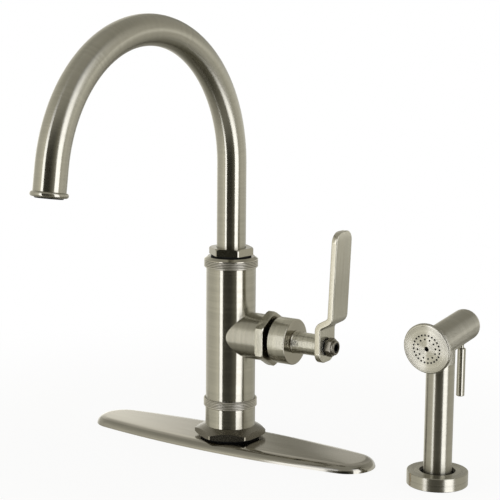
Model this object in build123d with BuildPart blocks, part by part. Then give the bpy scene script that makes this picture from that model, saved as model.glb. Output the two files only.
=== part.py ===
from build123d import *
import os
from math import cos, radians, sin, sqrt, tan

# Side spray kitchen faucet. Millimetres, +Z up, origin on the column axis at the deck surface.
# +X runs along the deck plate towards the lever and the spray wand, -Y is the side the spout reaches.

os.makedirs("parts", exist_ok=True)

# ---------------------------------------------------------------- driving dimensions
plate_length = 267.0
plate_width = 64.0
plate_end_radius = 23.2
plate_rise = 6.4
plate_round = 9.0
plate_skin = 3.0
plate_rim = 7.5

body_dia = 40.5
body_bore = 30.0
ring_dia = 43.9
hex_rise = 7.9
base_hex_flats = 51.3
base_hex_turn = 27.4
base_cone_drop = 4.6
base_seal_rise = 2.3
base_seal_proud = 1.1
lower_body_dia = 41.1
lower_body_rise = 16.0
lower_ring_rise = 7.3
column_rise = 108.9
collar_band_rise = 6.8
collar_bevel_rise = 1.8
collar_bevel_in = 2.8
nut_seal_dia = 34.4
nut_seal_rise = 1.4
spout_nut_flats = 32.1
spout_nut_rise = 6.0
spout_nut_turn = 21.2
spout_nut_chamfer = 1.3

tube_dia = 23.75
tube_wall = 1.2
spring_line = 232.8
spout_radius = 108.3
spout_bend = 171.4
spout_tail = 20.7
spout_turn = -2.0
bead_dia = 27.2
bead_rise = 4.0

valve_z = 93.7
sleeve_dia = 37.6
sleeve_end = 35.4
bonnet_flats = 39.0
bonnet_width = 7.4
cap_gap = 3.6
cap_dia = 37.1
cap_length = 15.4
stem_dia = 17.3
stem_length = 24.2
stem_ring_rise = 1.2
valve_pivot_x = 34.0
lever_width = 24.0
lever_thick = 5.0
lever_corner = 8.6
lever_edge = 0.7
lever_foot = 12.3
lever_height = 93.5
lever_lean = 2.5
joggle_start = 17.2
joggle_rise = 6.0
joggle_out = 11.1
joggle_bend = 5.8

shank_dia = 32.0
shank_wall = 3.0
shank_drop = 62.0
deck_gap = 8.0
port_dia = 10.0
port_circle = 14.0

wand_x = 189.2
wand_turn = -2.5
wand_dia = 21.7
wand_seam_z = 94.8
wand_foot_z = -22.0
holder_dia = 46.9
holder_rise = 10.5
holder_mouth = 27.7
head_z = 112.3
head_tilt = 7.25
head_dia = 24.6
head_face = 23.5
head_tail = 44.0
rim_dia = 39.0
rim_width = 2.4
rim_round = 1.4
face_dia = 35.0
flare_length = 14.0
rod_dia = 6.5
rod_reach = 34.2
rod_foot_z = 61.5
rod_head_z = 99.6

# Named clearances: radial play between a spigot and its bore, and the play of moving pieces.
seat_play = 0.1
running_play = 0.06
loose_play = 0.3

# ---------------------------------------------------------------- derived levels and radii
body_r = body_dia / 2
chamber_r = body_bore / 2
ring_r = ring_dia / 2
tube_r = tube_dia / 2
tube_bore_r = tube_r - tube_wall
shank_r = shank_dia / 2
shank_bore_r = shank_r - shank_wall
spigot_r = chamber_r + 3.0

base_hex_z = plate_rise + base_seal_rise
lower_body_z = base_hex_z + hex_rise
lower_ring_z = lower_body_z + lower_body_rise
column_z = lower_ring_z + lower_ring_rise
collar_z = column_z + column_rise
collar_top_z = collar_z + collar_band_rise + collar_bevel_rise
spout_nut_z = collar_top_z + nut_seal_rise

sleeve_r = sleeve_dia / 2
bonnet_end = sleeve_end + bonnet_width
cap_x = bonnet_end + cap_gap
cap_face_x = cap_x + cap_length
tab_x = cap_face_x + stem_length
lever_plane_x = tab_x + lever_thick / 2

valve_plane = Plane(origin=(0, 0, valve_z), x_dir=(0, 1, 0), z_dir=(1, 0, 0))
valve_axis = Axis((0, 0, valve_z), (1, 0, 0))
valve_side = Plane(origin=(0, 0, valve_z), x_dir=(1, 0, 0), z_dir=(0, -1, 0))


# ---------------------------------------------------------------- deck plate and its seals
half_width = plate_width / 2
end_centre = plate_length / 2 - plate_end_radius
bow = half_width - plate_end_radius
bow_drop = (end_centre**2 - bow**2) / (2 * bow)
bow_radius = half_width + bow_drop
touch_x = bow_radius * end_centre / (bow_radius - plate_end_radius)
touch_y = bow_radius * bow_drop / (bow_radius - plate_end_radius) - bow_drop

with BuildSketch() as plate_outline:
    with BuildLine():
        ThreePointArc((-touch_x, touch_y), (0, half_width), (touch_x, touch_y))
        ThreePointArc((touch_x, touch_y), (plate_length / 2, 0), (touch_x, -touch_y))
        ThreePointArc((touch_x, -touch_y), (0, -half_width), (-touch_x, -touch_y))
        ThreePointArc((-touch_x, -touch_y), (-plate_length / 2, 0), (-touch_x, touch_y))
    make_face()

with BuildPart() as deck_plate:
    with BuildSketch(Plane.XY.offset(-plate_round)):
        add(plate_outline.sketch)
    extrude(amount=plate_round + plate_rise)
    fillet(deck_plate.edges().group_by(Axis.Z)[-1], radius=plate_round)
    with BuildSketch(Plane.XY):
        Rectangle(plate_length + 20, plate_width + 20)
    extrude(amount=-2 * plate_round, mode=Mode.SUBTRACT)
    with BuildSketch(Plane.XY):
        add(plate_outline.sketch)
        offset(amount=-plate_rim)
    extrude(amount=plate_rise - plate_skin, mode=Mode.SUBTRACT)
    with BuildSketch(Plane.XY):
        Circle(shank_r + loose_play)
    extrude(amount=plate_rise, mode=Mode.SUBTRACT)
deck_plate.part.label = "deck_plate"
export_step(deck_plate.part, "parts/deck_plate.step")

with BuildPart() as deck_gasket:
    with BuildSketch(Plane.XY):
        add(plate_outline.sketch)
        offset(amount=-plate_rim - loose_play)
        Circle(shank_r + loose_play, mode=Mode.SUBTRACT)
    extrude(amount=plate_rise - plate_skin)
deck_gasket.part.label = "deck_gasket"
export_step(deck_gasket.part, "parts/deck_gasket.step")

with BuildPart() as base_seal:
    with BuildSketch(Plane.XY.offset(plate_rise)):
        Circle(base_hex_flats / 2 + base_seal_proud)
        Circle(shank_r + loose_play, mode=Mode.SUBTRACT)
    extrude(amount=base_seal_rise)
base_seal.part.label = "base_seal"
export_step(base_seal.part, "parts/base_seal.step")

# ---------------------------------------------------------------- column, from the deck up
base_hex_corner = base_hex_flats / sqrt(3)
base_hex_foot_r = base_hex_flats / 2 + 0.8
base_hex_foot_rise = 1.6
lower_body_r = lower_body_dia / 2
with BuildPart() as base_hex:
    with BuildSketch(Plane.XZ):
        with BuildLine():
            Polyline(
                (shank_r + seat_play, base_hex_z),
                (base_hex_foot_r, base_hex_z),
                (base_hex_corner, base_hex_z + base_hex_foot_rise),
                (base_hex_corner, lower_body_z - base_cone_drop),
                (lower_body_r, lower_body_z),
                (shank_r + seat_play, lower_body_z),
                close=True,
            )
        make_face()
    revolve(axis=Axis.Z)
    with BuildSketch(Plane.XY.offset(base_hex_z)):
        RegularPolygon(base_hex_flats / 2, 6, major_radius=False, rotation=base_hex_turn)
    extrude(amount=hex_rise, mode=Mode.INTERSECT)
base_hex.part.label = "base_hex"
export_step(base_hex.part, "parts/base_hex.step")

lower_spigot_top = column_z + 6.0
shank_top = lower_ring_z - 4.0
with BuildPart() as lower_body:
    with BuildSketch(Plane.XZ):
        with BuildLine():
            Polyline(
                (shank_r + seat_play, lower_body_z),
                (lower_body_r, lower_body_z),
                (lower_body_r, lower_ring_z),
                (spigot_r - seat_play, lower_ring_z),
                (spigot_r - seat_play, lower_spigot_top),
                (shank_bore_r, lower_spigot_top),
                (shank_bore_r, shank_top),
                (shank_r + seat_play, shank_top),
                close=True,
            )
        make_face()
    revolve(axis=Axis.Z)
lower_body.part.label = "lower_body"
export_step(lower_body.part, "parts/lower_body.step")

with BuildPart() as lower_ring:
    with BuildSketch(Plane.XY.offset(lower_ring_z)):
        Circle(ring_r)
    extrude(amount=lower_ring_rise)
    chamfer(lower_ring.edges(), length=0.7)
    with BuildSketch(Plane.XY.offset(lower_ring_z)):
        Circle(spigot_r)
    extrude(amount=lower_ring_rise, mode=Mode.SUBTRACT)
lower_ring.part.label = "lower_ring"
export_step(lower_ring.part, "parts/lower_ring.step")

# The column is cast with its valve branch. A solid core between the two chambers carries the
# cartridge seat, with drilled ways for hot, cold and mixed water.
lower_chamber_top = valve_z - 20.0
upper_chamber_z = valve_z + 20.0
seat_x = 8.0
cartridge_r = 13.5
bonnet_spigot_r = 15.5
flange_x = 28.2
with BuildPart() as body_column:
    with BuildSketch(Plane.XY.offset(column_z)):
        Circle(body_r)
    extrude(amount=column_rise)
    with BuildSketch(valve_plane):
        Circle(sleeve_r)
    extrude(amount=sleeve_end)
    with BuildSketch(Plane.XY.offset(column_z)):
        Circle(spigot_r)
    extrude(amount=lower_spigot_top - column_z, mode=Mode.SUBTRACT)
    with BuildSketch(Plane.XY.offset(lower_spigot_top)):
        Circle(chamber_r)
    extrude(amount=lower_chamber_top - lower_spigot_top, mode=Mode.SUBTRACT)
    with BuildSketch(Plane.XY.offset(upper_chamber_z)):
        Circle(chamber_r)
    extrude(amount=collar_z - upper_chamber_z, mode=Mode.SUBTRACT)
    with BuildSketch(valve_plane.offset(seat_x)):
        Circle(cartridge_r)
    extrude(amount=sleeve_end - seat_x, mode=Mode.SUBTRACT)
    with BuildSketch(valve_plane.offset(flange_x)):
        Circle(bonnet_spigot_r)
    extrude(amount=sleeve_end - flange_x, mode=Mode.SUBTRACT)
    with BuildSketch(valve_plane.offset(seat_x)):
        with Locations((-6.5, -6.0), (6.5, -6.0)):
            Circle(3.2)
        with Locations((0, 7.0)):
            Circle(3.8)
    extrude(amount=-seat_x - 7.0, mode=Mode.SUBTRACT)
    with BuildSketch(Plane.XY.offset(lower_chamber_top)):
        with Locations((-3.0, -6.5), (-3.0, 6.5)):
            Circle(2.6)
    extrude(amount=valve_z - 6.0 - lower_chamber_top, mode=Mode.SUBTRACT)
    with BuildSketch(Plane.XY.offset(upper_chamber_z)):
        with Locations((-2.5, 0)):
            Circle(3.2)
    extrude(amount=valve_z + 7.0 - upper_chamber_z, mode=Mode.SUBTRACT)
body_column.part.label = "body_column"
export_step(body_column.part, "parts/body_column.step")

collar_spigot_z = collar_z - 5.6
nut_spigot_z = spout_nut_z - 4.6
nut_spigot_r = spout_nut_flats / 2 - 1.05
with BuildPart() as upper_collar:
    with BuildSketch(Plane.XZ):
        with BuildLine():
            Polyline(
                (tube_r + loose_play, collar_spigot_z),
                (chamber_r - seat_play, collar_spigot_z),
                (chamber_r - seat_play, collar_z),
                (ring_r - 0.5, collar_z),
                (ring_r, collar_z + 0.5),
                (ring_r, collar_z + collar_band_rise),
                (ring_r - collar_bevel_in, collar_top_z),
                (nut_spigot_r + seat_play, collar_top_z),
                (nut_spigot_r + seat_play, nut_spigot_z - seat_play),
                (tube_r + loose_play, nut_spigot_z - seat_play),
                close=True,
            )
        make_face()
    revolve(axis=Axis.Z)
upper_collar.part.label = "upper_collar"
export_step(upper_collar.part, "parts/upper_collar.step")

with BuildPart() as nut_seal:
    with BuildSketch(Plane.XY.offset(collar_top_z)):
        Circle(nut_seal_dia / 2)
        Circle(nut_spigot_r + seat_play, mode=Mode.SUBTRACT)
    extrude(amount=nut_seal_rise)
nut_seal.part.label = "nut_seal"
export_step(nut_seal.part, "parts/nut_seal.step")

nut_corner = spout_nut_flats / sqrt(3)
nut_top_z = spout_nut_z + spout_nut_rise
with BuildPart() as spout_nut:
    with BuildSketch(Plane.XY.offset(spout_nut_z)):
        Circle(nut_corner)
    extrude(amount=spout_nut_rise)
    chamfer(spout_nut.edges(), length=spout_nut_chamfer)
    with BuildSketch(Plane.XY.offset(spout_nut_z)):
        RegularPolygon(spout_nut_flats / 2, 6, major_radius=False, rotation=spout_nut_turn)
    extrude(amount=spout_nut_rise, mode=Mode.INTERSECT)
    with BuildSketch(Plane.XY.offset(nut_spigot_z)):
        Circle(nut_spigot_r)
    extrude(amount=spout_nut_z - nut_spigot_z)
    with BuildSketch(Plane.XY.offset(nut_spigot_z)):
        Circle(tube_r + loose_play)
    extrude(amount=nut_top_z - nut_spigot_z, mode=Mode.SUBTRACT)
spout_nut.part.label = "spout_nut"
export_step(spout_nut.part, "parts/spout_nut.step")

# ---------------------------------------------------------------- swivelling spout
bearing_rise = 2.8
bearing_z = collar_spigot_z - bearing_rise
foot_top_z = bearing_z - seat_play
foot_z = upper_chamber_z + 2.5
tube_start_z = foot_z + 5.0
with BuildPart() as spout_bearing:
    with BuildSketch(Plane.XY.offset(bearing_z)):
        Circle(chamber_r - seat_play)
        Circle(tube_r + running_play, mode=Mode.SUBTRACT)
    extrude(amount=bearing_rise)
spout_bearing.part.label = "spout_bearing"
export_step(spout_bearing.part, "parts/spout_bearing.step")

spout_dir = Vector(0, -1, 0).rotate(Axis.Z, spout_turn)
spout_plane = Plane(origin=(0, 0, 0), x_dir=spout_dir, z_dir=spout_dir.cross(Vector(0, 0, 1)))
with BuildPart() as spout_tube:
    with BuildLine(spout_plane):
        riser = Line((0, tube_start_z), (0, spring_line))
        arch = JernArc(riser @ 1, riser % 1, spout_radius, -spout_bend)
        tail = Line(arch @ 1, arch @ 1 + (arch % 1) * spout_tail)
    with BuildSketch(Plane.XY.offset(tube_start_z)):
        Circle(tube_r)
        Circle(tube_bore_r, mode=Mode.SUBTRACT)
    sweep()
spout_tube.part.label = "spout_tube"
export_step(spout_tube.part, "parts/spout_tube.step")

oring_section = 1.0
oring_groove_r = chamber_r - 2 * oring_section - 0.1
oring_levels = (foot_z + 7.5, foot_z + 15.5)
with BuildPart() as spout_foot:
    with BuildSketch(Plane.XY.offset(foot_z)):
        Circle(chamber_r - seat_play)
        Circle(tube_bore_r, mode=Mode.SUBTRACT)
    extrude(amount=foot_top_z - foot_z)
    with BuildSketch(Plane.XY.offset(tube_start_z)):
        Circle(tube_r)
    extrude(amount=foot_top_z - tube_start_z, mode=Mode.SUBTRACT)
    for level in oring_levels:
        with BuildSketch(Plane.XY.offset(level - oring_section - 0.2)):
            Circle(chamber_r)
            Circle(oring_groove_r, mode=Mode.SUBTRACT)
        extrude(amount=2 * oring_section + 0.4, mode=Mode.SUBTRACT)
spout_foot.part.label = "spout_foot"
export_step(spout_foot.part, "parts/spout_foot.step")

with BuildPart() as spout_orings:
    with Locations(*[(0, 0, level) for level in oring_levels]):
        Torus(chamber_r - 0.02 - oring_section, oring_section)
spout_orings.part.label = "spout_orings"
export_step(spout_orings.part, "parts/spout_orings.step")

spout_tip = Plane(origin=tail @ 1, x_dir=spout_plane.z_dir, z_dir=tail % 1)
with BuildPart() as spout_bead:
    with BuildSketch(spout_tip.offset(-bead_rise)):
        Circle(bead_dia / 2)
    extrude(amount=bead_rise)
    fillet(spout_bead.edges(), radius=bead_rise / 2 - 0.15)
    with BuildSketch(spout_tip.offset(-bead_rise)):
        Circle(tube_r)
    extrude(amount=bead_rise, mode=Mode.SUBTRACT)
spout_bead.part.label = "spout_bead"
export_step(spout_bead.part, "parts/spout_bead.step")

aerator_lip = 2.2
aerator_bore_r = 8.6
with BuildPart() as aerator_housing:
    with BuildSketch(spout_tip):
        Circle(tube_r - 0.4)
    extrude(amount=aerator_lip)
    fillet(aerator_housing.faces().sort_by(Axis(spout_tip.origin, spout_tip.z_dir))[-1].edges(), radius=0.8)
    with BuildSketch(spout_tip):
        Circle(tube_bore_r - seat_play)
    extrude(amount=-10.0)
    with BuildSketch(spout_tip.offset(aerator_lip)):
        Circle(aerator_bore_r)
    extrude(amount=-10.0 - aerator_lip, mode=Mode.SUBTRACT)
aerator_housing.part.label = "aerator_housing"
export_step(aerator_housing.part, "parts/aerator_housing.step")

with BuildPart() as aerator_screen:
    with BuildSketch(spout_tip.offset(0.6)):
        Circle(aerator_bore_r - 0.02)
        with PolarLocations(3.2, 6):
            Circle(1.1, mode=Mode.SUBTRACT)
        with PolarLocations(6.3, 12):
            Circle(1.1, mode=Mode.SUBTRACT)
    extrude(amount=-3.0)
aerator_screen.part.label = "aerator_screen"
export_step(aerator_screen.part, "parts/aerator_screen.step")

# ---------------------------------------------------------------- valve branch and cartridge
bonnet_corner = bonnet_flats / sqrt(3)
bonnet_bore_r = 13.0
bonnet_spigot_x = flange_x + 2.2
with BuildPart() as bonnet_nut:
    with BuildSketch(valve_plane.offset(sleeve_end)):
        Circle(bonnet_corner)
    extrude(amount=bonnet_width)
    chamfer(bonnet_nut.edges(), length=1.1)
    with BuildSketch(valve_plane.offset(sleeve_end)):
        RegularPolygon(bonnet_flats / 2, 6, major_radius=False, rotation=90)
    extrude(amount=bonnet_width, mode=Mode.INTERSECT)
    with BuildSketch(valve_plane.offset(bonnet_spigot_x)):
        Circle(bonnet_spigot_r - seat_play)
    extrude(amount=sleeve_end - bonnet_spigot_x)
    with BuildSketch(valve_plane.offset(bonnet_spigot_x)):
        Circle(bonnet_bore_r)
    extrude(amount=bonnet_end - bonnet_spigot_x, mode=Mode.SUBTRACT)
bonnet_nut.part.label = "bonnet_nut"
export_step(bonnet_nut.part, "parts/bonnet_nut.step")

carrier_r = 10.0
carrier_x = 22.0
carrier_end = valve_pivot_x + 3.0
disc_x = carrier_x - 3.6
with BuildPart() as cartridge_housing:
    with BuildSketch(valve_plane.offset(seat_x)):
        Circle(cartridge_r - seat_play)
    extrude(amount=bonnet_spigot_x - seat_x)
    with BuildSketch(valve_plane.offset(flange_x)):
        Circle(bonnet_spigot_r - 1.0)
    extrude(amount=bonnet_spigot_x - flange_x)
    with BuildSketch(valve_plane.offset(disc_x)):
        Circle(carrier_r + running_play)
    extrude(amount=bonnet_spigot_x - disc_x, mode=Mode.SUBTRACT)
    with BuildSketch(valve_plane.offset(seat_x)):
        with Locations((-6.5, -6.0), (6.5, -6.0)):
            Circle(2.6)
        with Locations((0, 7.0)):
            Circle(3.2)
    extrude(amount=disc_x - seat_x, mode=Mode.SUBTRACT)
cartridge_housing.part.label = "cartridge_housing"
export_step(cartridge_housing.part, "parts/cartridge_housing.step")

with BuildPart() as cartridge_disc:
    with BuildSketch(valve_plane.offset(disc_x)):
        Circle(carrier_r)
        with Locations((-5.0, -5.0), (5.0, -5.0)):
            Circle(2.0, mode=Mode.SUBTRACT)
        with Locations((0, 5.5)):
            Circle(2.6, mode=Mode.SUBTRACT)
    extrude(amount=3.6)
cartridge_disc.part.label = "cartridge_disc"
export_step(cartridge_disc.part, "parts/cartridge_disc.step")

ball_r = 5.4
spindle_r = 4.6
pin_r = 1.5
with BuildPart() as valve_carrier:
    with BuildSketch(valve_plane.offset(carrier_x)):
        Circle(carrier_r)
    extrude(amount=carrier_end - carrier_x)
    with BuildSketch(valve_plane.offset(valve_pivot_x - ball_r - 1.0)):
        Circle(ball_r + 1.0)
    extrude(amount=carrier_end - valve_pivot_x + ball_r + 1.0, mode=Mode.SUBTRACT)
    with BuildSketch(Plane.XZ.offset(-carrier_r)):
        with Locations((valve_pivot_x, valve_z)):
            Circle(pin_r)
    extrude(amount=2 * carrier_r, mode=Mode.SUBTRACT)
valve_carrier.part.label = "valve_carrier"
export_step(valve_carrier.part, "parts/valve_carrier.step")

with BuildPart() as pivot_pin:
    with BuildSketch(Plane.XZ.offset(-carrier_r + 0.5)):
        with Locations((valve_pivot_x, valve_z)):
            Circle(pin_r)
    extrude(amount=2 * carrier_r - 1.0)
pivot_pin.part.label = "pivot_pin"
export_step(pivot_pin.part, "parts/pivot_pin.step")

# ---------------------------------------------------------------- lever handle
neck_x = valve_pivot_x + 5.6
hub_x = cap_x + 3.0
hub_r = 8.4
with BuildPart() as handle_neck:
    with BuildSketch(valve_plane.offset(neck_x)):
        Circle(hub_r + 0.6)
        Circle(spindle_r + seat_play, mode=Mode.SUBTRACT)
    extrude(amount=hub_x - neck_x)
handle_neck.part.label = "handle_neck"
export_step(handle_neck.part, "parts/handle_neck.step")

cap_r = cap_dia / 2
cap_wall = 2.4
with BuildPart() as handle_cap:
    with BuildSketch(valve_plane.offset(cap_x)):
        Circle(cap_r)
    extrude(amount=cap_length)
    fillet(handle_cap.edges().group_by(Axis.X)[-1], radius=0.7)
    fillet(handle_cap.edges().group_by(Axis.X)[0], radius=0.4)
    with BuildSketch(valve_plane.offset(cap_x)):
        Circle(cap_r - cap_wall)
        Circle(hub_r, mode=Mode.SUBTRACT)
    extrude(amount=cap_length - 4.0, mode=Mode.SUBTRACT)
    with BuildSketch(valve_plane.offset(cap_x)):
        Circle(hub_r + 0.1)
    extrude(amount=hub_x - cap_x, mode=Mode.SUBTRACT)
    with BuildSketch(valve_plane.offset(cap_x)):
        Circle(spindle_r + seat_play)
    extrude(amount=cap_length, mode=Mode.SUBTRACT)
handle_cap.part.label = "handle_cap"
export_step(handle_cap.part, "parts/handle_cap.step")

stem_r = stem_dia / 2
stem_x = cap_face_x + stem_ring_rise
stem_bevel = 1.0
thread_r = 4.0
thread_end = tab_x + lever_thick + 3.6
with BuildPart() as lever_stem:
    with BuildSketch(valve_side):
        with BuildLine():
            Polyline(
                (valve_pivot_x, 0),
                (valve_pivot_x, spindle_r),
                (stem_x, spindle_r),
                (stem_x, stem_r - stem_bevel),
                (stem_x + stem_bevel, stem_r),
                (tab_x, stem_r),
                (tab_x, thread_r),
                (thread_end, thread_r),
                (thread_end, 0),
                close=True,
            )
        make_face()
    revolve(axis=valve_axis)
    with Locations((valve_pivot_x, 0, valve_z)):
        Sphere(ball_r)
    with BuildSketch(Plane.XZ.offset(-2 * ball_r)):
        with Locations((valve_pivot_x, valve_z)):
            Circle(pin_r + running_play)
    extrude(amount=4 * ball_r, mode=Mode.SUBTRACT)
lever_stem.part.label = "lever_stem"
export_step(lever_stem.part, "parts/lever_stem.step")

with BuildPart() as stem_ring:
    with BuildSketch(valve_plane.offset(cap_face_x)):
        Circle(stem_r - 2 * stem_bevel)
        Circle(spindle_r + seat_play, mode=Mode.SUBTRACT)
    extrude(amount=stem_ring_rise)
stem_ring.part.label = "stem_ring"
export_step(stem_ring.part, "parts/stem_ring.step")

# The lever is a flat bar swept along its bent side view, then trimmed to its rounded front view.
tab_foot_z = valve_z - lever_foot
joggle_z = valve_z + joggle_start
paddle_z = joggle_z + joggle_rise
lever_top_z = valve_z + lever_height
paddle_x = lever_plane_x + joggle_out
paddle_top_x = paddle_x + (lever_top_z - paddle_z) * tan(radians(lever_lean))
with BuildPart() as lever:
    with BuildLine(Plane.XZ):
        FilletPolyline(
            (lever_plane_x, tab_foot_z - 1),
            (lever_plane_x, joggle_z),
            (paddle_x, paddle_z),
            (paddle_top_x, lever_top_z + 1),
            radius=joggle_bend,
        )
    with BuildSketch(Plane.XY.offset(tab_foot_z - 1)):
        with Locations((lever_plane_x, 0)):
            Rectangle(lever_thick, lever_width)
    sweep()
    with BuildSketch(Plane.YZ.offset(tab_x - lever_thick)):
        with Locations((0, (lever_top_z + tab_foot_z) / 2)):
            RectangleRounded(lever_width, lever_top_z - tab_foot_z, lever_corner)
    extrude(amount=paddle_top_x - tab_x + 3 * lever_thick, mode=Mode.INTERSECT)
    fillet(lever.edges().filter_by(Axis.Y, reverse=True), radius=lever_edge)
    with BuildSketch(valve_plane.offset(tab_x - 1)):
        Circle(thread_r + seat_play)
    extrude(amount=lever_thick + 2, mode=Mode.SUBTRACT)
lever.part.label = "lever"
export_step(lever.part, "parts/lever.step")

washer_x = tab_x + lever_thick
lever_washer_r = 7.0
lever_washer_rise = 0.9
with BuildPart() as lever_washer:
    with BuildSketch(valve_plane.offset(washer_x)):
        Circle(lever_washer_r)
        Circle(thread_r + seat_play, mode=Mode.SUBTRACT)
    extrude(amount=lever_washer_rise)
lever_washer.part.label = "lever_washer"
export_step(lever_washer.part, "parts/lever_washer.step")

lever_nut_flats = 13.2
lever_nut_rise = 5.2
lever_nut_dome_r = 5.9
lever_nut_x = washer_x + lever_washer_rise
lever_nut_end = lever_nut_x + 7.4
with BuildPart() as lever_nut:
    with BuildSketch(valve_plane.offset(lever_nut_x)):
        Circle(lever_nut_flats / sqrt(3))
    extrude(amount=lever_nut_rise)
    chamfer(lever_nut.edges().group_by(Axis.X)[-1], length=0.9)
    with BuildSketch(valve_plane.offset(lever_nut_x)):
        RegularPolygon(lever_nut_flats / 2, 6, major_radius=False, rotation=12)
    extrude(amount=lever_nut_rise, mode=Mode.INTERSECT)
    with BuildSketch(valve_plane.offset(lever_nut_x)):
        Circle(lever_nut_dome_r)
    extrude(amount=lever_nut_end - lever_nut_x)
    fillet(lever_nut.edges().group_by(Axis.X)[-1], radius=1.0)
    with BuildSketch(valve_plane.offset(lever_nut_x)):
        Circle(thread_r + seat_play)
    extrude(amount=lever_nut_end - lever_nut_x, mode=Mode.SUBTRACT)
lever_nut.part.label = "lever_nut"
export_step(lever_nut.part, "parts/lever_nut.step")

with BuildPart() as lever_screw:
    with BuildSketch(valve_plane.offset(thread_end + 0.1)):
        Circle(thread_r)
    extrude(amount=lever_nut_end - 0.3 - thread_end - 0.1)
    with BuildSketch(valve_plane.offset(lever_nut_end - 0.3)):
        RegularPolygon(2.75, 6, major_radius=False)
    extrude(amount=-3.0, mode=Mode.SUBTRACT)
lever_screw.part.label = "lever_screw"
export_step(lever_screw.part, "parts/lever_screw.step")

# ---------------------------------------------------------------- fastening below the deck
with BuildPart() as shank:
    with BuildSketch(Plane.XY.offset(-shank_drop)):
        Circle(shank_r)
        Circle(shank_bore_r, mode=Mode.SUBTRACT)
    extrude(amount=shank_drop + shank_top)
    chamfer(shank.edges().group_by(Axis.Z)[0].sort_by(SortBy.RADIUS)[-1], length=1.0)
shank.part.label = "shank"
export_step(shank.part, "parts/shank.step")

with BuildPart() as inlet_block:
    with BuildSketch(Plane.XY.offset(-shank_drop)):
        Circle(shank_bore_r)
    extrude(amount=18.0)
    with BuildSketch(Plane.XY.offset(-shank_drop)):
        with PolarLocations(port_circle / 2, 3, start_angle=90):
            Circle(port_dia / 2)
    extrude(amount=12.0, mode=Mode.SUBTRACT)
    with BuildSketch(Plane.XY.offset(-shank_drop)):
        with PolarLocations(port_circle / 2, 3, start_angle=90):
            Circle(3.0)
    extrude(amount=18.0, mode=Mode.SUBTRACT)
inlet_block.part.label = "inlet_block"
export_step(inlet_block.part, "parts/inlet_block.step")

with BuildPart() as deck_washer:
    with BuildSketch(Plane.XY.offset(-deck_gap - 3.0)):
        Circle(27.0)
        Circle(shank_r + seat_play, mode=Mode.SUBTRACT)
    extrude(amount=3.0)
deck_washer.part.label = "deck_washer"
export_step(deck_washer.part, "parts/deck_washer.step")

with BuildPart() as clamp_washer:
    with BuildSketch(Plane.XY.offset(-deck_gap - 4.5)):
        Circle(26.0)
        Circle(shank_r + seat_play, mode=Mode.SUBTRACT)
    extrude(amount=1.5)
clamp_washer.part.label = "clamp_washer"
export_step(clamp_washer.part, "parts/clamp_washer.step")

with BuildPart() as mounting_nut:
    with BuildSketch(Plane.XY.offset(-deck_gap - 14.5)):
        RegularPolygon(22.5, 6, major_radius=False)
    extrude(amount=10.0)
    chamfer(mounting_nut.edges().filter_by(Axis.Z), length=1.5)
    with BuildSketch(Plane.XY.offset(-deck_gap - 14.5)):
        Circle(shank_r + seat_play)
    extrude(amount=10.0, mode=Mode.SUBTRACT)
mounting_nut.part.label = "mounting_nut"
export_step(mounting_nut.part, "parts/mounting_nut.step")

# ---------------------------------------------------------------- spray wand holder
wand_r = wand_dia / 2
holder_plane = Plane.XY.shift_origin((wand_x, 0, 0))
recess_rise = 3.0
recess_r = 21.2
mouth_r = holder_mouth / 2
holder_shank_r = 15.0
ledge_z = wand_foot_z
with BuildPart() as holder_ring:
    with BuildSketch(holder_plane):
        Circle(holder_dia / 2)
    extrude(amount=holder_rise)
    chamfer(holder_ring.edges(), length=0.4)
    with BuildSketch(holder_plane):
        Circle(mouth_r)
    extrude(amount=holder_rise, mode=Mode.SUBTRACT)
    with BuildSketch(holder_plane):
        Circle(recess_r)
    extrude(amount=recess_rise, mode=Mode.SUBTRACT)
holder_ring.part.label = "holder_ring"
export_step(holder_ring.part, "parts/holder_ring.step")

with BuildPart() as holder_body:
    with BuildSketch(Plane.XZ):
        with BuildLine():
            Polyline(
                (wand_x + wand_r + loose_play, ledge_z),
                (wand_x + wand_r + loose_play, 0),
                (wand_x + mouth_r - 1.2, holder_rise - 1.8),
                (wand_x + mouth_r - seat_play, holder_rise - 1.8),
                (wand_x + mouth_r - seat_play, recess_rise),
                (wand_x + recess_r - seat_play, recess_rise),
                (wand_x + recess_r - seat_play, 0),
                (wand_x + holder_shank_r, 0),
                (wand_x + holder_shank_r, -50),
                (wand_x + 12.0, -50),
                (wand_x + 12.0, ledge_z - 4),
                (wand_x + 8.6, ledge_z - 4),
                (wand_x + 8.6, ledge_z),
                close=True,
            )
        make_face()
    revolve(axis=Axis((wand_x, 0, 0), (0, 0, 1)))
holder_body.part.label = "holder_body"
export_step(holder_body.part, "parts/holder_body.step")

with BuildPart() as holder_washer:
    with BuildSketch(holder_plane.offset(-deck_gap - 2.0)):
        Circle(24.0)
        Circle(holder_shank_r + seat_play, mode=Mode.SUBTRACT)
    extrude(amount=2.0)
holder_washer.part.label = "holder_washer"
export_step(holder_washer.part, "parts/holder_washer.step")

with BuildPart() as holder_nut:
    with BuildSketch(holder_plane.offset(-deck_gap - 12.0)):
        RegularPolygon(20.0, 6, major_radius=False)
    extrude(amount=10.0)
    chamfer(holder_nut.edges().filter_by(Axis.Z), length=1.5)
    with BuildSketch(holder_plane.offset(-deck_gap - 12.0)):
        Circle(holder_shank_r + seat_play)
    extrude(amount=10.0, mode=Mode.SUBTRACT)
holder_nut.part.label = "holder_nut"
export_step(holder_nut.part, "parts/holder_nut.step")

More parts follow.
